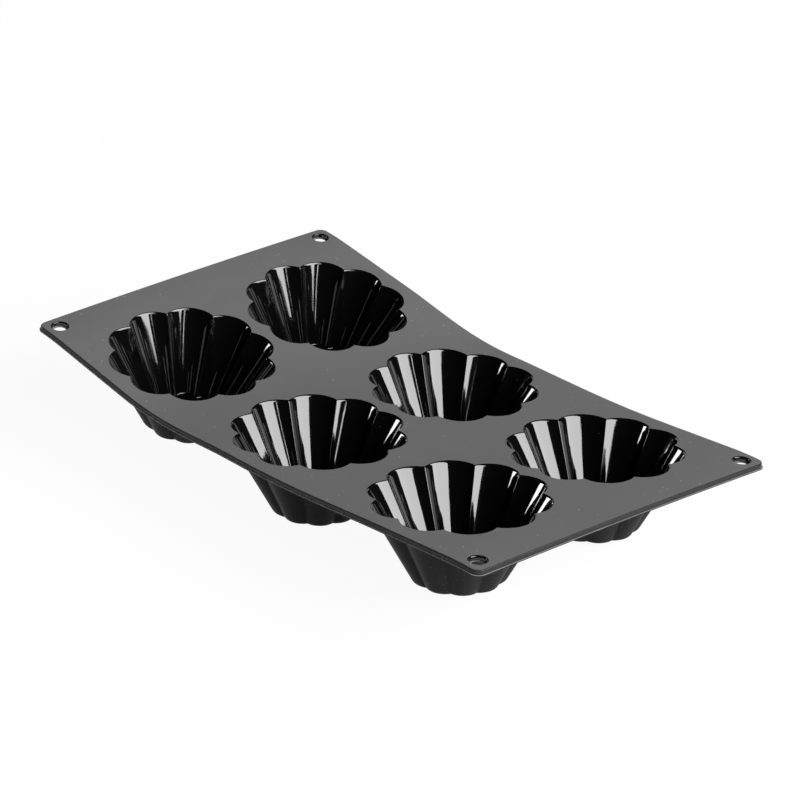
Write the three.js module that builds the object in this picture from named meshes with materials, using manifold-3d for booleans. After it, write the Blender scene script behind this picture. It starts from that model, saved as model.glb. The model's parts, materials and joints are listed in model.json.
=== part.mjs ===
// Silicone brioche mould: a flexible sheet with three columns and two rows of fluted cups.
// Millimetres, +Z up. X runs along the sheet, Y across it, from the front row to the back row.
// The mould stands on its middle column, with both ends of the sheet curled up by hand.
import * as THREE from 'three';
import { mergeVertices } from 'three/addons/utils/BufferGeometryUtils.js';
import loadManifold from 'manifold-3d';

// Sheet. Gaps and margins are measured from the rim circles, which pass through the lobe tips.
const sheetThickness = 2.5;
const columnGap = 12;
const rowGap = 3;
const endMargin = 19.5;
const sideMargin = 7;
const cornerRadius = 5.5;
const endDroop = 1.6; // how far a free short edge hangs below its panel
const rimBorder = 2; // panel left between a rim circle and the flexing web
const webReach = 22; // half the web's width at the sheet's edges, where no cup narrows it
const edgeRound = 0.8; // rounding of the rims and of the hanging holes

// Hanging holes, one in each corner of the sheet.
const hangHoleDiameter = 7.5;
const hangHoleInset = 8; // from the hole's centre to both edges

// Cups. Diameters are measured across opposite lobe tips.
const lobeCount = 10;
const rimDiameter = 79;
const cuspDepth = 4.5; // from the rim circle in to the ridge between two lobes
const cupDepth = 36; // from the sheet's top face to the inside of the floor
const floorDiameter = 39; // where the lines of wall and floor would meet, inside
const cupWall = 1.2;
const cupFloor = 1.5;
const baseRound = 4.2; // outside corner between wall and floor

// Flexed pose, in degrees from the level middle panel.
const leftCurlAngle = 10.8; // short edge up
const rightCurlAngle = 4.1;
const leftTwistAngle = 2.9; // back long edge up
const rightTwistAngle = -1.6;

// Clearance between neighbouring solids, and how finely curves are cut into facets.
const seatGap = 0.3;
const lobeSegments = 6;
const roundSegments = 4;
const droopSegments = 5;
const holeSegments = 20;
const webSteps = 6;
const webStations = 24;

// Sizes that follow from the ones above.
const rimRadius = rimDiameter / 2;
const columnPitch = rimDiameter + columnGap;
const rowPitch = rimDiameter + rowGap;
const sheetLength = 2 * columnPitch + rimDiameter + 2 * endMargin;
const sheetWidth = rowPitch + rimDiameter + 2 * sideMargin;
const hingeX = columnPitch / 2;
const wallSlope = (rimRadius - floorDiameter / 2) / cupDepth;
const wallAngle = Math.atan(wallSlope);
const wallAcross = cupWall / Math.cos(wallAngle); // wall thickness measured level
const cutClearance = 1; // how far a cutter passes the face that it cuts

const wasm = await loadManifold();
wasm.setup();

// A closed three.js geometry as a solid that can be joined and cut.
function toSolid(geometry) {
  const bare = geometry.clone();
  bare.deleteAttribute('normal');
  bare.deleteAttribute('uv');
  const merged = mergeVertices(bare, 1e-4);
  return new wasm.Manifold(new wasm.Mesh({
    numProp: 3,
    vertProperties: new Float32Array(merged.attributes.position.array),
    triVerts: new Uint32Array(merged.index.array),
  }));
}

function toGeometry(solid) {
  const mesh = solid.getMesh();
  const geometry = new THREE.BufferGeometry();
  geometry.setAttribute('position', new THREE.BufferAttribute(mesh.vertProperties, 3));
  geometry.setIndex(new THREE.BufferAttribute(mesh.triVerts, 1));
  geometry.computeVertexNormals();
  return geometry;
}

// Radius of the cup's inside at the lobe tips, at a height below the sheet's top face.
function wallRadius(z) {
  return rimRadius + wallSlope * z;
}

// Fluted outline at height z: equal arcs, bulging outwards, that meet in sharp inward cusps.
// tipRadius is the reach of the lobe tips, and offset the level distance outside the inner wall.
function flutedRing(tipRadius, offset, z) {
  const half = Math.PI / lobeCount;
  const cuspRadius = rimRadius - cuspDepth;
  const rimCentre = (rimRadius ** 2 - cuspRadius ** 2) / (2 * (rimRadius - cuspRadius * Math.cos(half)));
  const scale = (tipRadius - offset) / rimRadius;
  const centre = rimCentre * scale;
  const arc = (rimRadius - rimCentre) * scale + offset;
  const cusp = centre * Math.cos(half) + Math.sqrt(arc ** 2 - (centre * Math.sin(half)) ** 2);
  const sweep = Math.atan2(cusp * Math.sin(half), cusp * Math.cos(half) - centre);
  const ring = [];
  for (let lobe = 0; lobe < lobeCount; lobe += 1) {
    const axis = 2 * half * lobe;
    for (let step = 0; step < lobeSegments; step += 1) {
      const turn = axis + sweep * (2 * step / lobeSegments - 1);
      ring.push(new THREE.Vector3(
        centre * Math.cos(axis) + arc * Math.cos(turn),
        centre * Math.sin(axis) + arc * Math.sin(turn),
        z,
      ));
    }
  }
  return ring;
}

// Skin over a run of rings, closed at both ends by a fan about the middle of the end ring.
function loftGeometry(rings) {
  const count = rings[0].length;
  const first = rings[0];
  const last = rings[rings.length - 1];
  const points = [new THREE.Vector3(0, 0, first[0].z), ...rings.flat(), new THREE.Vector3(0, 0, last[0].z)];
  const endPole = points.length - 1;
  const index = [];
  for (let i = 0; i < count; i += 1) {
    const next = (i + 1) % count;
    index.push(0, 1 + next, 1 + i);
    for (let r = 0; r < rings.length - 1; r += 1) {
      const low = 1 + r * count;
      const high = low + count;
      index.push(low + i, low + next, high + next);
      index.push(low + i, high + next, high + i);
    }
    const top = 1 + (rings.length - 1) * count;
    index.push(endPole, top + i, top + next);
  }
  const geometry = new THREE.BufferGeometry().setFromPoints(points);
  geometry.setIndex(index);
  geometry.computeVertexNormals();
  return geometry;
}

// Rings of one side of the cup, from its floor up to topZ, with the corner at the floor rounded.
function cupSideRings(offset, floorZ, round, topZ) {
  const tangentZ = floorZ + round * (1 - Math.sin(wallAngle));
  const roundCentre = wallRadius(tangentZ) + offset - round * Math.cos(wallAngle);
  const rings = [];
  for (let i = 0; i <= roundSegments; i += 1) {
    const turn = -Math.PI / 2 + (i / roundSegments) * (Math.PI / 2 - wallAngle);
    const radius = roundCentre + round * Math.cos(turn);
    rings.push(flutedRing(radius, offset, floorZ + round * (1 + Math.sin(turn))));
  }
  rings.push(flutedRing(wallRadius(topZ) + offset, offset, topZ));
  return rings;
}

// A fluted cup, open at the top, which hangs from the underside of its panel.
function cupGeometry() {
  const topZ = -sheetThickness - seatGap;
  const outside = cupSideRings(wallAcross, -cupDepth - cupFloor, baseRound, topZ);
  const innerRound = Math.max(baseRound - cupWall, cupFloor / roundSegments);
  const inside = cupSideRings(0, -cupDepth, innerRound, topZ);
  return loftGeometry([...outside, ...inside.reverse()]);
}

// The space that one cup takes out of its panel: the tapered mouth with its rounded rim.
function mouthGeometry() {
  const lowZ = -sheetThickness - cutClearance;
  const rings = [flutedRing(wallRadius(lowZ), 0, lowZ)];
  for (let i = 0; i <= roundSegments / 2; i += 1) {
    const turn = (i / roundSegments) * Math.PI;
    const z = edgeRound * (Math.sin(turn) - 1);
    const flare = edgeRound * (1 - Math.cos(turn));
    rings.push(flutedRing(wallRadius(z) + flare, flare, z));
  }
  rings.push(flutedRing(wallRadius(0) + edgeRound, edgeRound, cutClearance));
  return loftGeometry(rings);
}

// Round hole with a rounded upper edge, as the body of revolution that cuts it.
function hangHoleGeometry() {
  const radius = hangHoleDiameter / 2;
  const lowZ = -sheetThickness - endDroop - cutClearance;
  const profile = [new THREE.Vector2(0, lowZ), new THREE.Vector2(radius, lowZ)];
  for (let i = 0; i <= roundSegments / 2; i += 1) {
    const turn = (i / roundSegments) * Math.PI;
    profile.push(new THREE.Vector2(
      radius + edgeRound * (1 - Math.cos(turn)),
      edgeRound * (Math.sin(turn) - 1) - endDroopAt(sheetLength / 2 - hangHoleInset),
    ));
  }
  profile.push(new THREE.Vector2(radius + edgeRound, cutClearance));
  profile.push(new THREE.Vector2(0, cutClearance));
  return new THREE.LatheGeometry(profile, holeSegments).rotateX(Math.PI / 2);
}

// How far the sheet hangs below its panel at a distance from the sheet's middle.
function endDroopAt(distance) {
  const past = Math.max(distance - (sheetLength / 2 - endMargin), 0);
  return endDroop * (past / endMargin) ** 2;
}

// Slab of sheet between two distances from the sheet's middle, over the whole width.
function slabGeometry(from, to, breaks) {
  const stations = [from, ...breaks, to];
  const side = new THREE.Shape();
  side.moveTo(from, -endDroopAt(Math.abs(from)));
  stations.slice(1).forEach((x) => side.lineTo(x, -endDroopAt(Math.abs(x))));
  stations.reverse().forEach((x) => side.lineTo(x, -endDroopAt(Math.abs(x)) - sheetThickness));
  const slab = new THREE.ExtrudeGeometry(side, { depth: sheetWidth, bevelEnabled: false });
  return slab.rotateX(Math.PI / 2).translate(0, sheetWidth / 2, 0);
}

// Upright block with the sheet's outline, rounded at the four corners.
function sheetOutlineGeometry() {
  const x = sheetLength / 2;
  const y = sheetWidth / 2;
  const outline = new THREE.Shape();
  outline.moveTo(-x + cornerRadius, -y);
  outline.absarc(x - cornerRadius, -y + cornerRadius, cornerRadius, -Math.PI / 2, 0);
  outline.absarc(x - cornerRadius, y - cornerRadius, cornerRadius, 0, Math.PI / 2);
  outline.absarc(-x + cornerRadius, y - cornerRadius, cornerRadius, Math.PI / 2, Math.PI);
  outline.absarc(-x + cornerRadius, -y + cornerRadius, cornerRadius, Math.PI, 1.5 * Math.PI);
  const depth = sheetThickness + endDroop + 2 * cutClearance;
  const block = new THREE.ExtrudeGeometry(outline, { depth, bevelEnabled: false, curveSegments: roundSegments });
  return block.translate(0, 0, cutClearance - depth);
}

// Half the web's width at a place across the sheet. The web's sides run round the rims, inset apart
// from the panels' borders, and its width is limited towards the edges and between the rows.
function webHalfWidth(y, inset) {
  const fromRow = Math.abs(Math.abs(y) - rowPitch / 2);
  const border = rimRadius + rimBorder + inset;
  const chord = Math.sqrt(Math.max(border ** 2 - fromRow ** 2, 0));
  return Math.min(hingeX - chord, webReach - inset);
}

// Upright block with the waisted outline of a web, about its hinge line.
function webOutlineGeometry() {
  const end = sheetWidth / 2 + cutClearance;
  const stations = [-end];
  for (let i = 0; i <= webStations; i += 1) {
    stations.push(sheetWidth * (i / webStations - 0.5));
  }
  stations.push(end);
  const rightSide = stations.map((y) => new THREE.Vector2(webHalfWidth(y, 0), y));
  const leftSide = stations.map((y) => new THREE.Vector2(-webHalfWidth(y, 0), y)).reverse();
  const depth = sheetThickness + 2 * cutClearance;
  const outline = new THREE.Shape([...rightSide, ...leftSide]);
  const block = new THREE.ExtrudeGeometry(outline, { depth, bevelEnabled: false });
  return block.translate(0, 0, cutClearance - depth);
}

const rowPlaces = { front: -rowPitch / 2, back: rowPitch / 2 };

// One column's panel, in the flat sheet: a slab that ends at its webs, with two mouths, and with two
// hanging holes where it has a free end.
function panelGeometry(column) {
  const side = Math.sign(column);
  const breaks = [];
  for (let i = 0; i < droopSegments; i += 1) {
    breaks.push(sheetLength / 2 - endMargin * (1 - i / droopSegments));
  }
  let slab = slabGeometry(-hingeX, hingeX, []);
  if (side > 0) slab = slabGeometry(hingeX, sheetLength / 2, breaks);
  if (side < 0) slab = slabGeometry(-sheetLength / 2, -hingeX, breaks.map((x) => -x).reverse());
  let panel = toSolid(slab).intersect(toSolid(sheetOutlineGeometry()));
  for (const web of [-1, 1]) {
    panel = panel.subtract(toSolid(webOutlineGeometry().translate(web * hingeX, 0, 0)));
  }
  for (const y of Object.values(rowPlaces)) {
    panel = panel.subtract(toSolid(mouthGeometry().translate(column * columnPitch, y, 0)));
    if (column !== 0) {
      const holeX = side * (sheetLength / 2 - hangHoleInset);
      const holeY = Math.sign(y) * (sheetWidth / 2 - hangHoleInset);
      panel = panel.subtract(toSolid(hangHoleGeometry().translate(holeX, holeY, 0)));
    }
  }
  return toGeometry(panel);
}

// Turn of an end of the sheet about its hinge line, or of a share of it.
function endTurn(side, share) {
  const curl = THREE.MathUtils.degToRad(side < 0 ? leftCurlAngle : -rightCurlAngle);
  const twist = THREE.MathUtils.degToRad(side < 0 ? leftTwistAngle : rightTwistAngle);
  return new THREE.Euler(twist * share, curl * share, 0, 'YXZ');
}

const hingePoint = (side) => new THREE.Vector3(side * hingeX, 0, -sheetThickness / 2);

// Flexing web between two columns: a strip that turns gradually from the middle panel to an end panel.
function webGeometry(side) {
  const strip = new THREE.BoxGeometry(2, sheetWidth, sheetThickness, webSteps, webStations, 1);
  const place = strip.attributes.position;
  const point = new THREE.Vector3();
  for (let i = 0; i < place.count; i += 1) {
    point.fromBufferAttribute(place, i);
    point.x *= webHalfWidth(point.y, seatGap);
    const share = THREE.MathUtils.smoothstep((side * point.x) / webHalfWidth(point.y, 0), -1, 1);
    point.applyEuler(endTurn(side, share)).add(hingePoint(side));
    place.setXYZ(i, point.x, point.y, point.z);
  }
  strip.computeVertexNormals();
  return strip;
}

const sheetSilicone = () => new THREE.MeshStandardMaterial({ color: 0x4b4b4d, roughness: 0.55, metalness: 0 });
const cupSilicone = () => new THREE.MeshStandardMaterial({ color: 0x0d0d0e, roughness: 0.18, metalness: 0 });

function namedMesh(name, geometry, material) {
  const mesh = new THREE.Mesh(geometry, material);
  mesh.name = name;
  return mesh;
}

// A panel with its two cups, placed as in the flat sheet.
function columnGroup(name, column) {
  const group = new THREE.Group();
  group.add(namedMesh(`${name}_panel`, panelGeometry(column), sheetSilicone()));
  for (const [row, y] of Object.entries(rowPlaces)) {
    const cup = namedMesh(`${name}_${row}_cup`, cupGeometry(), cupSilicone());
    cup.position.set(column * columnPitch, y, 0);
    group.add(cup);
  }
  return group;
}

// An end column, turned about the hinge line in its web.
function endGroup(name, side) {
  const column = columnGroup(name, side);
  column.position.copy(hingePoint(side)).negate();
  const end = new THREE.Group();
  end.add(column);
  end.position.copy(hingePoint(side));
  end.rotation.copy(endTurn(side, 1));
  return end;
}

const sheet = new THREE.Group();
sheet.add(columnGroup('middle', 0));
sheet.add(namedMesh('left_web', webGeometry(-1), sheetSilicone()));
sheet.add(namedMesh('right_web', webGeometry(1), sheetSilicone()));
sheet.add(endGroup('left', -1));
sheet.add(endGroup('right', 1));

// The origin is under the middle of the whole mould, on the surface that it stands on.
sheet.updateMatrixWorld(true);
const reach = new THREE.Box3().setFromObject(sheet, true);
const centre = reach.getCenter(new THREE.Vector3());
sheet.position.set(-centre.x, -centre.y, -reach.min.z);

const mould = new THREE.Group();
mould.add(sheet);

export default mould;
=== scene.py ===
import json
import math
import bmesh
import bpy
import numpy as np
from mathutils import Matrix, Vector
from mathutils.geometry import delaunay_2d_cdt


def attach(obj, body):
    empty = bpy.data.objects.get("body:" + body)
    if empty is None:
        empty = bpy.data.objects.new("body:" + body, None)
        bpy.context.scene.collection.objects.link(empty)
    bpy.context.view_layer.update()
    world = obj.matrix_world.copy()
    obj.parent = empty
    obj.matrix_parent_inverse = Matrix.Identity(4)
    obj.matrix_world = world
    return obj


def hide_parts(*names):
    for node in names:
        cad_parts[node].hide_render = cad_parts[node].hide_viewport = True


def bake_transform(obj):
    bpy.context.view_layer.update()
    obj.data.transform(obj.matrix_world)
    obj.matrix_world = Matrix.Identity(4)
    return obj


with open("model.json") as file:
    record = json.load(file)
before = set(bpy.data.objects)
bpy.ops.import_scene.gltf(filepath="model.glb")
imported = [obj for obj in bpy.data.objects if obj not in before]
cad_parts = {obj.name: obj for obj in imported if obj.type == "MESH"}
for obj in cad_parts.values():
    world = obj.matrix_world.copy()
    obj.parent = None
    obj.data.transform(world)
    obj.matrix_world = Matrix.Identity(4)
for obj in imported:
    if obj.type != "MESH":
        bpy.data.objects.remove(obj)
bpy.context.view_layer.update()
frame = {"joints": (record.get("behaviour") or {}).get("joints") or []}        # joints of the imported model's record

# The moulding lies flat while it is made, in millimetres: x along the sheet, y across it,
# z up from its top face. flexed() then brings it to its place in the frame, in metres.
millimetre = 0.001
columns = {"left": -1, "middle": 0, "right": 1}
rows = {"front": -1, "back": 1}
creaseAngle = 40.0   # degrees, above which an edge stays sharp
tolerance = {"level": 1e-4, "cut": 1e-5, "join": 1e-6}   # millimetres

sheet = {
    "length": 300.0,
    "width": 175.0,
    "thickness": 2.5,
    "columnPitch": 91.0,
    "rowPitch": 82.0,
    "cornerRadius": 4.5,
    "edgeRound": 0.45,
    "lipReach": 0.5,     # thin lip that the mould's parting line leaves round the lower edge
    "lipHeight": 0.4,
    "holeLip": 0.7,      # the same lip in a hanging hole
    "holeDiameter": 7.5,
    "holeInset": 8.0,    # from a hanging hole's middle to both edges
    "holeRound": 0.6,
    "shoulder": 0.5,     # level ring beside a rounding, which keeps the shading of the top even
    "gridStep": 4.0,
    "webStep": 0.8,      # finer steps where the web bends
    "cornerSteps": 8,
    "roundSteps": 4,
    "holeSteps": 32,
}

flex = {
    "left": {"curl": 10.4, "twist": 2.9, "bend": 36.0},   # degrees, and half the width of the bend
    "right": {"curl": 3.6, "twist": -1.2, "bend": 45.0},
    "endMargin": 19.5,   # from the end cups' rims to the short edges, which droop
    "endDroop": 0.3,
    "cornerDroop": 0.8,  # and their corners droop this much further
    "webHalf": 4.0,      # half the narrow web between two rims, which takes up further flexing
    "stations": 301,
}

hinges = {joint["child"].split("_")[0]: Vector(joint["pos_m"]) for joint in frame["joints"]}
hingeX = (hinges["right"].x - hinges["left"].x) / 2 / millimetre
sheetMiddle = (hinges["left"] + hinges["right"]) / 2
sheetMiddle.z += sheet["thickness"] / 2 * millimetre


# Flat points, in millimetres, to their places in the flexed mould, in metres. Each half is bent
# without stretching: its slope grows smoothly across the bend, and its path adds up from the slope.
def flexed(flatPoints):
    x, y, z = np.array(flatPoints, float).T
    pastCups = np.maximum(np.abs(x) - sheet["length"] / 2 + flex["endMargin"], 0) / flex["endMargin"]
    droop = (flex["endDroop"] + flex["cornerDroop"] * (2 * y / sheet["width"])**2) * pastCups**2
    height = z - droop + sheet["thickness"] / 2
    stations = np.linspace(0, sheet["length"] / 2, flex["stations"])
    places = np.zeros((len(x), 3))
    for side, sign in (("left", -1), ("right", 1)):
        along = np.clip((stations - hingeX) / flex[side]["bend"], -1, 1) / 2 + 0.5
        share = along**2 * (3 - 2 * along)
        slopes = math.radians(flex[side]["curl"]) * share
        between = (slopes[1:] + slopes[:-1]) / 2
        runs = np.append(0, np.cumsum(np.cos(between))) * stations[1]
        rises = np.append(0, np.cumsum(np.sin(between))) * stations[1]
        here = np.abs(x)
        slope = np.interp(here, stations, slopes)
        twist = math.radians(flex[side]["twist"]) * np.interp(here, stations, share)
        across = y * np.cos(twist) - height * np.sin(twist)
        above = y * np.sin(twist) + height * np.cos(twist)
        length = sign * (np.interp(here, stations, runs) - above * np.sin(slope))
        rise = np.interp(here, stations, rises) + above * np.cos(slope) - sheet["thickness"] / 2
        half = sign * x >= 0
        places[half] = np.stack([length, across, rise], 1)[half]
    places = places * millimetre + np.array(sheetMiddle)
    places[:, 2] = np.maximum(places[:, 2], 0)   # the middle cups stand flat
    return places


cup = {
    "lobes": 10,
    "rimRadius": 39.5,   # to the tips of the lobes
    "cuspDepth": 4.5,
    "depth": 36.0,
    "floorRadius": 19.5,
    "wall": 1.2,
    "floor": 1.5,
    "baseRound": 4.2,    # outside, under the floor
    "insideRound": 1.2,  # where the floor meets the wall inside
    "rimDrop": 1.0,      # the rounded rim starts this far down the wall
    "rimLip": 0.4,       # and ends this far outside it, on the top face
    "rootRound": 1.6,    # fillet between a cup's outside and the sheet's underside
    "ridgeRadius": 0.5,  # blunt ridge between two lobes, inside
    "grooveRadius": 1.2,  # groove between two lobes, outside
    "sharpest": 0.02,
    "lobeSteps": 18,
    "ridgeSteps": 6,     # even, so that a ridge has a point on its middle
    "roundSteps": 7,
    "rimSteps": 9,
    "wallSteps": 6,
    "floorRings": 4,
}

# Inner radius of a cup at its lobe tips, at a height below the top face.
wallSlope = (cup["rimRadius"] - cup["floorRadius"]) / cup["depth"]
wallAngle = math.atan(wallSlope)
wallAcross = cup["wall"] / math.cos(wallAngle)


def wallRadius(z):
    return cup["rimRadius"] + wallSlope * z


# Outline of a cup at one height: lobes that bulge outwards, with a round ridge between two lobes.
# tip is the reach of the lobes on the inner wall, and offset the distance outside that wall.
def fluteRing(tip, offset, ridge, z):
    half = math.pi / cup["lobes"]
    cusp = cup["rimRadius"] - cup["cuspDepth"]
    rimCentre = cup["rimRadius"]**2 - cusp**2
    rimCentre /= 2 * (cup["rimRadius"] - cusp * math.cos(half))
    scale = tip / cup["rimRadius"]
    centre = rimCentre * scale
    arc = (cup["rimRadius"] - rimCentre) * scale + offset
    ridge = max(ridge * scale, cup["sharpest"] * scale)
    ridgeCentre = centre * math.cos(half)
    ridgeCentre += math.sqrt((arc + ridge)**2 - (centre * math.sin(half))**2)
    sweep = math.atan2(ridgeCentre * math.sin(half), ridgeCentre * math.cos(half) - centre)
    lobeTurns = np.linspace(-sweep, sweep, cup["lobeSteps"] + 1)
    ridgeTurns = np.linspace(sweep + math.pi, 2 * half - sweep + math.pi, cup["ridgeSteps"] + 1)[1:-1]
    ring = []
    for lobe in range(cup["lobes"]):
        axis = 2 * half * lobe
        ring.append(centre * np.exp(1j * axis) + arc * np.exp(1j * (axis + lobeTurns)))
        ring.append(ridgeCentre * np.exp(1j * (axis + half)) + ridge * np.exp(1j * (axis + ridgeTurns)))
    ring = np.concatenate(ring)
    return np.stack([ring.real, ring.imag, np.full(len(ring), z)], 1)


def mouthRing(extra, z):
    return fluteRing(cup["rimRadius"], cup["rimLip"] + extra, 0, z)


# The rim curves over from the inner wall to the level top face, slowly at first.
def rimRings(ridge):
    rings = []
    for t in np.linspace(0, 1, cup["rimSteps"]):
        z = -cup["rimDrop"] * (1 - t)**2
        offset = cup["rimLip"] * t**2
        rings.append(fluteRing(wallRadius(z), offset, ridge - offset, z))
    return rings[:-1] + [mouthRing(0, 0)]


# Rings of one side of the cup at its floor, from the flat floor up to the wall.
def floorRings(offset, floorZ, floorRound, ridge):
    tangentZ = floorZ + floorRound * (1 - math.sin(wallAngle))
    roundCentre = wallRadius(tangentZ) + offset - floorRound * math.cos(wallAngle)
    rings = []
    for share in np.linspace(0, 1, cup["floorRings"] + 1)[1:-1]:
        rings.append(fluteRing((roundCentre - offset) * share, offset * share, ridge * share, floorZ))
    for turn in np.linspace(-math.pi / 2, -wallAngle, cup["roundSteps"]):
        radius = roundCentre + floorRound * math.cos(turn)
        z = floorZ + floorRound * (1 + math.sin(turn))
        rings.append(fluteRing(radius - offset, offset, ridge, z))
    return rings


def wallRings(offset, ridge, lowZ, highZ):
    heights = np.linspace(lowZ, highZ, cup["wallSteps"] + 1)[1:-1]
    return [fluteRing(wallRadius(z), offset, ridge, z) for z in heights]


# All rings of a cup, from the middle of its floor over the rim and down the outside again.
def cupRings():
    thickness = sheet["thickness"]
    ridge = cup["ridgeRadius"]
    groove = cup["grooveRadius"]
    inside = floorRings(0, -cup["depth"], cup["insideRound"], ridge)
    inside += wallRings(0, ridge, inside[-1][0, 2], -cup["rimDrop"])
    inside += rimRings(ridge)
    outside = [mouthRing(0, -thickness)]
    rootCentre = wallRadius(-thickness) + wallAcross
    rootCentre += cup["rootRound"] * (1 - math.sin(wallAngle)) / math.cos(wallAngle)
    for turn in np.linspace(math.pi / 2, math.pi - wallAngle, cup["roundSteps"]):
        z = -thickness - cup["rootRound"] * (1 - math.sin(turn))
        radius = rootCentre + cup["rootRound"] * math.cos(turn)
        outside.append(fluteRing(wallRadius(z), radius - wallRadius(z), groove, z))
    base = floorRings(wallAcross, -cup["depth"] - cup["floor"], cup["baseRound"], groove)
    outside += wallRings(wallAcross, groove, outside[-1][0, 2], base[-1][0, 2])
    outside += base[::-1]
    return inside, outside


def quadStrip(first, second):
    nextOf = np.roll(np.arange(len(first)), -1)
    return [(first[i], first[k], second[k], second[i]) for i, k in enumerate(nextOf)]


def newPiece(name, points, faces, materials, faceSlots=None):
    mesh = bpy.data.meshes.new(name)
    mesh.from_pydata([tuple(p) for p in points], [], faces)
    for material in materials:
        mesh.materials.append(material)
    if faceSlots is not None:
        mesh.polygons.foreach_set("material_index", faceSlots)
    mesh.polygons.foreach_set("use_smooth", [True] * len(mesh.polygons))
    piece = bpy.data.objects.new(name, mesh)
    bpy.context.scene.collection.objects.link(piece)
    return piece


# A place on the flat moulding, in millimetres, that the finish keeps when the mould flexes.
def keepPlace(piece, places):
    attribute = piece.data.attributes.new("mouldPlace", "FLOAT_VECTOR", "POINT")
    attribute.data.foreach_set("vector", np.array(places, np.float32).ravel())


def smoothBelow(piece, degrees):
    piece.data.validate()
    piece.data.set_sharp_from_angle(angle=math.radians(degrees))


# Shared effects, each a shader node group.
def newGroup(name, inputs, outputs):
    group = bpy.data.node_groups.new(name, "ShaderNodeTree")
    for way, sockets in (("INPUT", inputs), ("OUTPUT", outputs)):
        for label, kind in sockets.items():
            group.interface.new_socket(label, in_out=way, socket_type=f"NodeSocket{kind}")
    return group, group.nodes.new("NodeGroupInput"), group.nodes.new("NodeGroupOutput")


def addNode(tree, kind, settings=None, **inputs):
    node = tree.nodes.new(kind)
    for key, value in (settings or {}).items():
        setattr(node, key, value)
    for key, value in inputs.items():
        socket = node.inputs[int(key[1:])] if key[0] == "i" and key[1:].isdigit() else node.inputs[key]
        if isinstance(value, bpy.types.NodeSocket):
            tree.links.new(value, socket)
        else:
            socket.default_value = value
    return node


def mathNode(tree, operation, *values):
    numbered = {f"i{k}": value for k, value in enumerate(values)}
    return addNode(tree, "ShaderNodeMath", {"operation": operation}, **numbered).outputs[0]


grainNoise = {
    "Fine": {"Detail": 2.0, "Roughness": 0.6},
    "Slow": {"Detail": 3.0, "Roughness": 0.55},
}


# Fine moulded grain over slow unevenness.
def grainGroup():
    group, given, result = newGroup(
        "moulded grain",
        {"Place": "Vector", "Fine": "Float", "Slow": "Float"},
        {"Height": "Float", "Shade": "Float"},
    )
    for scale, label in (("Fine", "Height"), ("Slow", "Shade")):
        noise = addNode(group, "ShaderNodeTexNoise", Vector=given.outputs["Place"],
                        Scale=given.outputs[scale], **grainNoise[scale])
        group.links.new(noise.outputs["Fac"], result.inputs[label])
    return group


# Pale dust: one small round speck in some of the cells.
def dustGroup():
    group, given, result = newGroup(
        "dust specks",
        {"Place": "Vector", "Cells": "Float", "Amount": "Float", "Size": "Float"},
        {"Mask": "Float"},
    )
    cells = addNode(group, "ShaderNodeTexVoronoi", Vector=given.outputs["Place"],
                    Scale=given.outputs["Cells"])
    chance = addNode(group, "ShaderNodeSeparateColor", Color=cells.outputs["Color"])
    chosen = mathNode(group, "LESS_THAN", chance.outputs[0], given.outputs["Amount"])
    radius = mathNode(group, "MULTIPLY", given.outputs["Size"], chance.outputs[1])
    near = mathNode(group, "LESS_THAN", cells.outputs["Distance"], radius)
    group.links.new(mathNode(group, "MULTIPLY", chosen, near), result.inputs["Mask"])
    return group


mouldedGrain = grainGroup()
dustSpecks = dustGroup()
print("finish: shared grain and dust groups made")


def newMaterial(name):
    material = bpy.data.materials.new(name)
    material.use_nodes = True
    tree = material.node_tree
    tree.nodes.clear()
    surface = tree.nodes.new("ShaderNodeBsdfPrincipled")
    output = tree.nodes.new("ShaderNodeOutputMaterial")
    tree.links.new(surface.outputs["BSDF"], output.inputs["Surface"])
    place = addNode(tree, "ShaderNodeAttribute", {"attribute_name": "mouldPlace"}).outputs["Vector"]
    return material, tree, surface, place


def placeGroup(tree, group, **inputs):
    return addNode(tree, "ShaderNodeGroup", {"node_tree": group}, **inputs)


noiseRange = (0.3, 0.7)   # where most values of a noise lie


def spread(tree, value, low, high):
    first, last = noiseRange
    return addNode(tree, "ShaderNodeMapRange", i0=value, i1=first, i2=last, i3=low, i4=high).outputs[0]


def bumped(tree, surface, height, strength, distance):
    bump = addNode(tree, "ShaderNodeBump", Height=height, Strength=strength, Distance=distance)
    tree.links.new(bump.outputs["Normal"], surface.inputs["Normal"])


def mixColour(tree, share, first, second):
    mix = addNode(tree, "ShaderNodeMix", {"data_type": "RGBA"}, i0=share, i6=first, i7=second)
    return mix.outputs[2]


# What all finishes share: grain that varies tone and roughness, and dust on top.
# grainPlace is where the grain is looked up, and dustAmount the share of cells that hold a speck.
def dressSurface(tree, surface, finish, place, grainPlace, dustAmount):
    grain = placeGroup(tree, mouldedGrain, Place=grainPlace, Fine=finish["fine"], Slow=finish["slow"])
    dust = placeGroup(tree, dustSpecks, Place=place, Cells=finish["dustCells"], Amount=dustAmount,
                      Size=finish["dustSize"])
    tone = mixColour(tree, grain.outputs["Shade"], finish["dark"], finish["light"])
    colour = mixColour(tree, dust.outputs["Mask"], tone, finish["dust"])
    tree.links.new(colour, surface.inputs["Base Color"])
    roughness = spread(tree, grain.outputs["Height"], *finish["roughness"])
    tree.links.new(roughness, surface.inputs["Roughness"])
    surface.inputs["Specular IOR Level"].default_value = finish["specular"]
    return grain


satinSheet = {
    "dark": (0.118, 0.118, 0.120, 1),
    "light": (0.136, 0.136, 0.139, 1),
    "dust": (0.34, 0.34, 0.34, 1),
    "fine": 2.4,
    "slow": 0.035,
    "roughness": (0.46, 0.56),
    "bump": 0.35,
    "grainDepth": 0.00002,
    "dustCells": 0.45,
    "dustAmount": (0.12, 0.7),   # away from the edges, and beside them
    "dustEdge": 22.0,            # how far in from the edges it thins out
    "dustSize": 0.16,
    "specular": 0.2,
}


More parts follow.
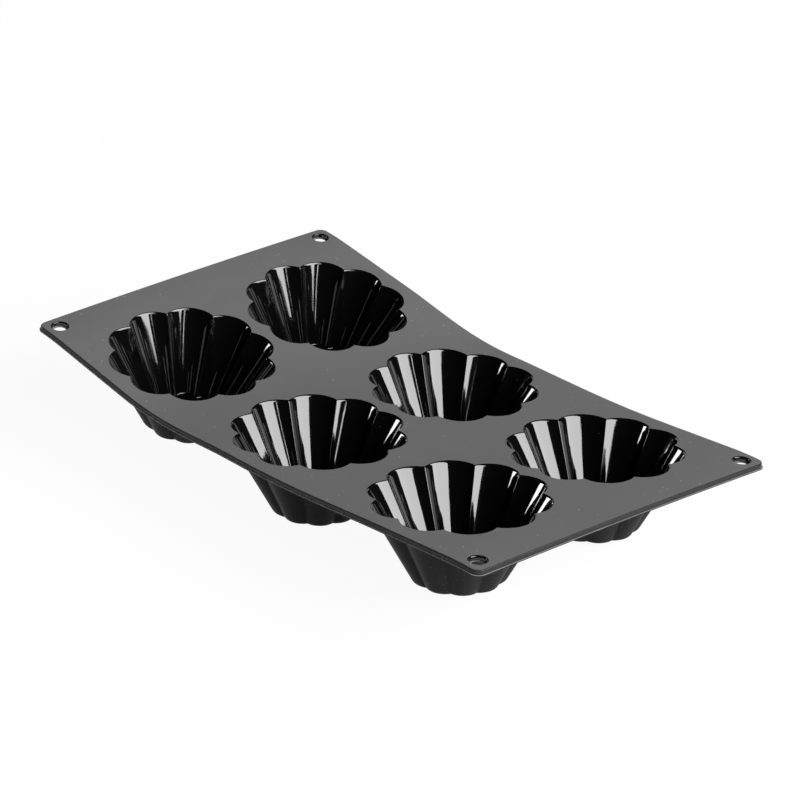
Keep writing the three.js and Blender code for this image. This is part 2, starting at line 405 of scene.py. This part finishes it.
# Dust gathers towards the edges of the sheet, where it is handled.
def edgeDust(tree, place, reach, away, beside):
    axes = addNode(tree, "ShaderNodeSeparateXYZ", Vector=place)
    shares = []
    for socket, half in ((axes.outputs[0], sheet["length"] / 2), (axes.outputs[1], sheet["width"] / 2)):
        out = mathNode(tree, "ABSOLUTE", socket)
        near = addNode(tree, "ShaderNodeMapRange", i0=out, i1=half - reach, i2=half, i3=away, i4=beside)
        shares.append(near.outputs[0])
    return mathNode(tree, "MAXIMUM", *shares)


def satinSheetMaterial():
    finish = satinSheet
    material, tree, surface, place = newMaterial("satin sheet silicone")
    amount = edgeDust(tree, place, finish["dustEdge"], *finish["dustAmount"])
    grain = dressSurface(tree, surface, finish, place, place, amount)
    bumped(tree, surface, grain.outputs["Height"], finish["bump"], finish["grainDepth"])
    return material


glossCup = {
    "dark": (0.0012, 0.0012, 0.0013, 1),
    "light": (0.0024, 0.0024, 0.0026, 1),
    "dust": (0.10, 0.10, 0.10, 1),
    "stretch": (1.0, 1.0, 0.06),   # marks run down the flutes
    "fine": 1.6,
    "slow": 0.12,
    "roughness": (0.035, 0.075),
    "bump": 1.0,
    "waveDepth": 0.00006,
    "markShare": 0.15,             # of the fine marks beside the slow waves
    "dustCells": 0.3,
    "dustAmount": 0.08,
    "dustSize": 0.08,
    "specular": 0.56,
}


def glossCupMaterial():
    finish = glossCup
    material, tree, surface, place = newMaterial("gloss cup silicone")
    drawn = addNode(tree, "ShaderNodeVectorMath", {"operation": "MULTIPLY"},
                    i0=place, i1=finish["stretch"])
    grain = dressSurface(tree, surface, finish, place, drawn.outputs[0], finish["dustAmount"])
    marks = mathNode(tree, "MULTIPLY", grain.outputs["Height"], finish["markShare"])
    waves = mathNode(tree, "ADD", grain.outputs["Shade"], marks)
    bumped(tree, surface, waves, finish["bump"], finish["waveDepth"])
    return material


# outside of the cups
matteCup = {
    "dark": (0.014, 0.014, 0.0145, 1),
    "light": (0.020, 0.020, 0.0205, 1),
    "dust": (0.075, 0.075, 0.075, 1),
    "fine": 1.8,
    "slow": 0.06,
    "roughness": (0.40, 0.52),
    "bump": 0.3,
    "grainDepth": 0.00003,
    "dustCells": 0.9,
    "dustAmount": 0.5,
    "dustSize": 0.25,
    "specular": 0.03,
}

# edge and underside of the sheet
darkEdge = {
    "dark": (0.016, 0.016, 0.0165, 1),
    "light": (0.026, 0.026, 0.0265, 1),
    "dust": (0.13, 0.13, 0.13, 1),
    "fine": 2.0,
    "slow": 0.08,
    "roughness": (0.18, 0.28),
    "bump": 0.3,
    "grainDepth": 0.000012,
    "dustCells": 0.6,
    "dustAmount": 0.6,
    "dustSize": 0.18,
    "specular": 0.14,
}

# thin lip, paler than the sheet: its pale colour is a painted highlight where light catches the lip,
# with real dust specks lying on it
paintedHighlightLip = {
    "dark": (0.22, 0.22, 0.22, 1),
    "light": (0.30, 0.30, 0.30, 1),
    "dust": (0.5, 0.5, 0.5, 1),
    "fine": 2.0,
    "slow": 0.08,
    "roughness": (0.5, 0.6),
    "bump": 0.3,
    "grainDepth": 0.000012,
    "dustCells": 0.6,
    "dustAmount": 0.4,
    "dustSize": 0.18,
    "specular": 0.2,
}


def plainMaterial(name, finish):
    material, tree, surface, place = newMaterial(name)
    grain = dressSurface(tree, surface, finish, place, place, finish["dustAmount"])
    bumped(tree, surface, grain.outputs["Height"], finish["bump"], finish["grainDepth"])
    return material


sheetFinish = satinSheetMaterial()
edgeFinish = plainMaterial("dark edge silicone", darkEdge)
# the lip's pale colour is a painted highlight, not the silicone's own tone
paintedHighlightLipFinish = plainMaterial("lip silicone with painted highlight", paintedHighlightLip)
insideFinish = glossCupMaterial()
outsideFinish = plainMaterial("matte cup silicone", matteCup)
print("finish: five silicone materials made")


def makeCup(column, row):
    inside, outside = cupRings()
    rings = inside + outside
    count = len(rings[0])
    local = np.concatenate([[(0, 0, rings[0][0, 2])], *rings, [(0, 0, rings[-1][0, 2])]])
    numbers = [1 + k * count + np.arange(count) for k in range(len(rings))]
    faces = []
    faceSlots = []
    for k, (low, high) in enumerate(zip(numbers[:-1], numbers[1:])):
        faces += quadStrip(low, high)
        faceSlots += [0 if k < len(inside) - 1 else 1] * count
    following = np.roll(np.arange(count), -1)
    faces += [(0, numbers[0][b], numbers[0][a]) for a, b in enumerate(following)]
    faces += [(len(local) - 1, numbers[-1][a], numbers[-1][b]) for a, b in enumerate(following)]
    faceSlots += [0] * count + [1] * count
    faces = [tuple(int(i) for i in face[::-1]) for face in faces]
    middle = (columns[column] * sheet["columnPitch"], rows[row] * sheet["rowPitch"] / 2, 0)
    piece = newPiece(f"{column}_{row}_fluted_cup", flexed(local + middle), faces,
                     [insideFinish, outsideFinish], faceSlots)
    # down a flute, the kept place stays above the same point of the rim
    fan = cup["rimRadius"] / wallRadius(np.clip(local[:, 2:], -cup["depth"], 0))
    keepPlace(piece, np.hstack([local[:, :2] * fan, local[:, 2:]]) + middle)
    smoothBelow(piece, creaseAngle)
    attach(piece, f"{column}_section")
    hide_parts(f"{column}_{row}_cup")


for column in columns:
    for row in rows:
        makeCup(column, row)
print("cups: six fluted cups made")


# Stations between two corners, in rising order, with finer steps where the webs bend.
def edgeStations(end, withWebs):
    steps = 2 * math.ceil(end / sheet["gridStep"])
    stations = list(np.linspace(-end, end, steps + 1)[1:-1])
    if withWebs:
        web = flex["webHalf"]
        stations = [s for s in stations if abs(abs(s) - hingeX) > web + sheet["webStep"]]
        fine = np.linspace(-web, web, 2 * round(web / sheet["webStep"]) + 1)
        stations += list(fine - hingeX) + list(fine + hingeX)
    return np.array(sorted(stations))


# Outline of the sheet, drawn in by inset, with a point at every station along its straight sides.
def edgeRing(inset, z):
    length = sheet["length"] / 2
    width = sheet["width"] / 2
    radius = sheet["cornerRadius"]
    along = edgeStations(length - radius, True)
    across = edgeStations(width - radius, False)
    turns = np.linspace(0, math.pi / 2, sheet["cornerSteps"] + 1)
    points = []
    for quarter, (x, y) in enumerate([(1, 1), (-1, 1), (-1, -1), (1, -1)]):
        corner = complex(x * (length - radius), y * (width - radius))
        points += list(corner + (radius - inset) * np.exp(1j * (turns + quarter * math.pi / 2)))
        if quarter % 2 == 0:
            points += [complex(s, y * (width - inset)) for s in -y * along]
        else:
            points += [complex(x * (length - inset), s) for s in x * across]
    points = np.array(points)
    return np.stack([points.real, points.imag, np.full(len(points), z)], 1)


def holeRing(radius, x, y, z):
    turns = np.linspace(0, 2 * math.pi, sheet["holeSteps"], endpoint=False)
    return np.stack([x + radius * np.cos(turns), y + radius * np.sin(turns), np.full(len(turns), z)], 1)


lipTop = sheet["lipHeight"] - sheet["thickness"]


# Profile of an edge that is rounded above, upright from inset, and stands on a lip:
# how far each of its rings is drawn in, and its height.
def lippedProfile(radius, inset, reach):
    turns = np.linspace(0, math.pi / 2, sheet["roundSteps"] + 1)
    upper = [(inset + radius * (1 - math.sin(t)), -radius * (1 - math.cos(t))) for t in turns]
    lip = [(inset, lipTop), (inset - reach, lipTop), (inset - reach, -sheet["thickness"])]
    return upper + lip


def holePlaces():
    x = sheet["length"] / 2 - sheet["holeInset"]
    y = sheet["width"] / 2 - sheet["holeInset"]
    return [(a * x, b * y) for a in (-1, 1) for b in (-1, 1)]


def mouthPlaces():
    x = sheet["columnPitch"]
    y = sheet["rowPitch"] / 2
    return [(a * x, b * y) for a in columns.values() for b in rows.values()]


# Which places lie inside a closed outline: a line drawn from them crosses it an odd number of times.
def insideRing(places, ring):
    x, y = places.T
    inside = np.zeros(len(places), bool)
    for (ax, ay), (bx, by) in zip(ring[:, :2], np.roll(ring[:, :2], -1, axis=0)):
        if ay == by:
            continue
        crossing = ax + (bx - ax) * (y - ay) / (by - ay)
        inside ^= ((ay > y) != (by > y)) & (x < crossing)
    return inside


# The whole flat sheet as one closed mesh: its openings are the six mouths and the four hanging holes.
def flatSheet():
    thickness = sheet["thickness"]
    mouths = mouthPlaces()
    holes = holePlaces()
    holeRadius = sheet["holeDiameter"] / 2
    shoulder = sheet["shoulder"]
    openings = []    # rings through the sheet, and the level ring beside the top one
    reach = sheet["lipReach"]
    edge = [edgeRing(inset, z) for inset, z in lippedProfile(sheet["edgeRound"], reach, reach)]
    openings.append((edge, edgeRing(reach + sheet["edgeRound"] + shoulder, 0)))
    holeProfile = lippedProfile(sheet["holeRound"], 0, sheet["holeLip"])
    for x, y in holes:
        rings = [holeRing(holeRadius + inset, x, y, z) for inset, z in holeProfile]
        openings.append((rings, holeRing(holeRadius + sheet["holeRound"] + shoulder, x, y, 0)))
    for x, y in mouths:
        rings = [mouthRing(0, z) + (x, y, 0) for z in (0, -thickness)]
        openings.append((rings, mouthRing(shoulder, 0) + (x, y, 0)))

    points = []
    faces = []

    def add(ring):
        start = len(points)
        points.extend(ring)
        return np.arange(start, len(points))

    flat = []        # points of the level top inside the shoulders
    flatEdges = []
    tops = []
    for rings, level in openings:
        numbers = [add(ring) for ring in rings]
        for upper, lower in zip(numbers[:-1], numbers[1:]):
            faces += quadStrip(upper, lower)
        tops.append((numbers[0], numbers[-1], len(flat)))
        following = np.roll(np.arange(len(level)), -1)
        flatEdges += [(len(flat) + a, len(flat) + b) for a, b in enumerate(following)]
        flat += [tuple(p[:2]) for p in level]

    clear = sheet["gridStep"] / 2
    for x in edgeStations(sheet["length"] / 2 - clear, True):
        for y in edgeStations(sheet["width"] / 2 - clear, False):
            fromMouth = min(math.hypot(x - a, y - b) for a, b in mouths)
            fromHole = min(math.hypot(x - a, y - b) for a, b in holes)
            if fromMouth > cup["rimRadius"] + clear and fromHole > holeRadius + clear:
                flat.append((x, y))
    insideOnly = 1   # triangles within the outline
    _, _, triangles, origins, _, _ = delaunay_2d_cdt(
        [Vector(p) for p in flat], flatEdges, [], insideOnly, tolerance["join"])
    triangles = np.array([[origins[i][0] for i in triangle] for triangle in triangles])
    middles = np.array(flat)[triangles].mean(axis=1)
    cutAway = np.zeros(len(triangles), bool)
    for _, level in openings[1:]:
        cutAway |= insideRing(middles, level)
    topNumbers = add([(x, y, 0) for x, y in flat])
    bottomNumbers = add([(x, y, -thickness) for x, y in flat])
    for triangle in triangles[~cutAway]:
        faces.append(topNumbers[triangle])
        faces.append(bottomNumbers[triangle[::-1]])
    for upper, lower, start in tops:
        level = np.arange(start, start + len(upper))
        faces += quadStrip(topNumbers[level], upper)
        faces += quadStrip(lower, bottomNumbers[level])
    return np.array(points), [tuple(int(i) for i in face) for face in faces]


# edge stands for the underside too
sheetFinishes = {"top": sheetFinish, "edge": edgeFinish, "hole": insideFinish, "lip": paintedHighlightLipFinish}


# Which finish a face of the flat sheet has.
def sheetFaceFinish(corners):
    low, high = corners[:, 2].min(), corners[:, 2].max()
    if high - low < tolerance["level"] and low > lipTop - tolerance["level"]:
        return "top" if low > lipTop + tolerance["level"] else "lip"
    fromHole = min(math.dist(corners[:, :2].mean(axis=0), hole) for hole in holePlaces())
    return "hole" if fromHole < sheet["holeDiameter"] / 2 + sheet["holeRound"] else "edge"


# One half of the sheet, cut on the flat middle line, bends across its own web.
def makeSheetHalf(side, points, faces):
    shape = bmesh.new()
    corners = [shape.verts.new(p) for p in points]
    for face in faces:
        shape.faces.new([corners[i] for i in face])
    everything = shape.verts[:] + shape.edges[:] + shape.faces[:]
    bmesh.ops.bisect_plane(shape, geom=everything, dist=tolerance["cut"], plane_co=(0, 0, 0),
                           plane_no=(columns[side], 0, 0), clear_inner=True)
    rims = [e for e in shape.edges if e.is_boundary]
    bmesh.ops.holes_fill(shape, edges=rims, sides=0)
    bmesh.ops.recalc_face_normals(shape, faces=shape.faces[:])
    shape.verts.index_update()
    flat = np.array([corner.co for corner in shape.verts])
    halfFaces = [[corner.index for corner in face.verts] for face in shape.faces]
    shape.free()
    slots = list(sheetFinishes)
    faceSlots = [slots.index(sheetFaceFinish(flat[face])) for face in halfFaces]
    piece = newPiece(f"{side}_sheet_half", flexed(flat), halfFaces, sheetFinishes.values(), faceSlots)
    keepPlace(piece, flat)
    smoothBelow(piece, creaseAngle)
    web = flex["webHalf"]
    ends = flexed([(columns[side] * (hingeX + step), 0, 0) for step in (-web, web)])
    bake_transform(piece)
    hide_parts("middle_panel", f"{side}_web", f"{side}_panel")


sheetPoints, sheetFaces = flatSheet()
for side in ("left", "right"):
    makeSheetHalf(side, sheetPoints, sheetFaces)
print("sheet: two halves made,", len(sheetFaces), "faces")


# Viewing direction, measured from the middle of the sheet's top face.
camera = {
    "azimuth": 46.83,
    "elevation": 24.45,
    "roll": 2.24,
    "distance": 1.21117,
    "slide": (0.00567, 0.00356),  # to the right and up in the picture
    "lens": 120.44,
    "clip": (0.05, 60.0),
}


def direction(azimuth, elevation):
    a = math.radians(azimuth)
    e = math.radians(elevation)
    return Vector((math.sin(a) * math.cos(e), -math.cos(a) * math.cos(e), math.sin(e)))


def makeCamera():
    data = bpy.data.cameras.new("camera")
    data.lens = camera["lens"]
    data.clip_start, data.clip_end = camera["clip"]
    back = direction(camera["azimuth"], camera["elevation"])
    right = Vector((0, 0, 1)).cross(back).normalized()
    up = back.cross(right)
    roll = math.radians(camera["roll"])
    rolledRight = right * math.cos(roll) + up * math.sin(roll)
    rolledUp = up * math.cos(roll) - right * math.sin(roll)
    place = sheetMiddle + back * camera["distance"]
    place += rolledRight * camera["slide"][0] + rolledUp * camera["slide"][1]
    view = bpy.data.objects.new("camera", data)
    turn = Matrix((rolledRight, rolledUp, back)).transposed().to_4x4()
    view.matrix_world = Matrix.Translation(place) @ turn
    bpy.context.scene.collection.objects.link(view)
    bpy.context.scene.camera = view


makeCamera()
print("camera placed")


# Each lamp is a rectangle that faces the sheet. The middles of its two ends are given as
# azimuth and elevation, in degrees, and distance from the middle of the sheet, in metres.
softbox = {
    "ends": [(108.3, 46.2, 5.63), (108.3, 9.5, 16.2)],
    "width": 7.9,
    "radiance": 12.0,
}

slimStrip = {
    "ends": [(59.8, 27.0, 3.0), (81.8, 11.0, 3.0)],
    "width": 0.085,
    "radiance": 12.0,
}

rearStrip = {
    "ends": [(-79.2, 2.5, 1.8), (-57.2, 9.5, 1.8)],
    "width": 0.27,
    "radiance": 17.0,
}


def makeLamp(name, lamp):
    data = bpy.data.lights.new(name, "AREA")
    ends = [direction(azimuth, elevation) * distance for azimuth, elevation, distance in lamp["ends"]]
    middle = (ends[0] + ends[1]) / 2
    lengthwise = (ends[1] - ends[0]).normalized()
    facing = (middle - lengthwise * middle.dot(lengthwise)).normalized()
    sideways = lengthwise.cross(facing)
    data.shape = "RECTANGLE"
    data.size = lamp["width"]
    data.size_y = (ends[1] - ends[0]).length
    data.energy = lamp["radiance"] * math.pi * data.size * data.size_y
    piece = bpy.data.objects.new(name, data)
    turn = Matrix((sideways, lengthwise, facing)).transposed().to_4x4()
    piece.matrix_world = Matrix.Translation(sheetMiddle + middle) @ turn
    piece.visible_camera = False
    bpy.context.scene.collection.objects.link(piece)


floor = {
    "radius": 12.0,
    "sides": 96,
    "colour": (0.9, 0.9, 0.9, 1),
    "white": (1.0, 1.0, 1.0, 1),
    "kept": 0.06,        # share of the real shading, so that the mould's shadow stays
}


def floorMaterial():
    material = bpy.data.materials.new("white floor")
    material.use_nodes = True
    tree = material.node_tree
    tree.nodes.clear()
    output = tree.nodes.new("ShaderNodeOutputMaterial")
    lit = addNode(tree, "ShaderNodeBsdfDiffuse", Color=floor["colour"])
    white = addNode(tree, "ShaderNodeEmission", Color=floor["white"], Strength=1.0)
    path = addNode(tree, "ShaderNodeLightPath")
    seen = mathNode(tree, "MAXIMUM", path.outputs["Is Camera Ray"], path.outputs["Is Glossy Ray"])
    seen = mathNode(tree, "MAXIMUM", seen, path.outputs["Is Transmission Ray"])
    share = mathNode(tree, "MULTIPLY", seen, 1 - floor["kept"])
    mix = addNode(tree, "ShaderNodeMixShader", Fac=share)
    tree.links.new(lit.outputs[0], mix.inputs[1])
    tree.links.new(white.outputs[0], mix.inputs[2])
    tree.links.new(mix.outputs[0], output.inputs["Surface"])
    return material


def makeFloor():
    turns = np.linspace(0, 2 * math.pi, floor["sides"], endpoint=False)
    points = [(floor["radius"] * math.cos(t), floor["radius"] * math.sin(t), 0) for t in turns]
    piece = newPiece("floor", points, [tuple(range(len(points)))], [floorMaterial()])


backdrop = {
    "azimuths": (-93.0, -173.0),   # round behind the mould
    "radius": 3.2,
    "height": 0.8,
    "steps": 48,
}


def makeBackdrop():
    turns = np.linspace(*backdrop["azimuths"], backdrop["steps"] + 1)
    feet = [direction(turn, 0) * backdrop["radius"] for turn in turns]
    points = feet + [foot + Vector((0, 0, backdrop["height"])) for foot in feet]
    count = len(feet)
    faces = [(k, k + 1, count + k + 1, count + k) for k in range(count - 1)]
    newPiece("backdrop", points, faces, [bpy.data.materials["white floor"]])


surround = {
    "colour": (0.012, 0.012, 0.012, 1),
    "strength": 1.0,
}


def makeWorld():
    world = bpy.data.worlds.new("studio")
    world.use_nodes = True
    background = world.node_tree.nodes["Background"]
    background.inputs["Color"].default_value = surround["colour"]
    background.inputs["Strength"].default_value = surround["strength"]
    bpy.context.scene.world = world


makeLamp("softbox", softbox)
makeLamp("slim_strip", slimStrip)
makeLamp("rear_strip", rearStrip)
makeFloor()
makeBackdrop()
makeWorld()
bpy.context.scene.view_settings.view_transform = "Standard"
print("studio: lamps, floor, backdrop and world made")
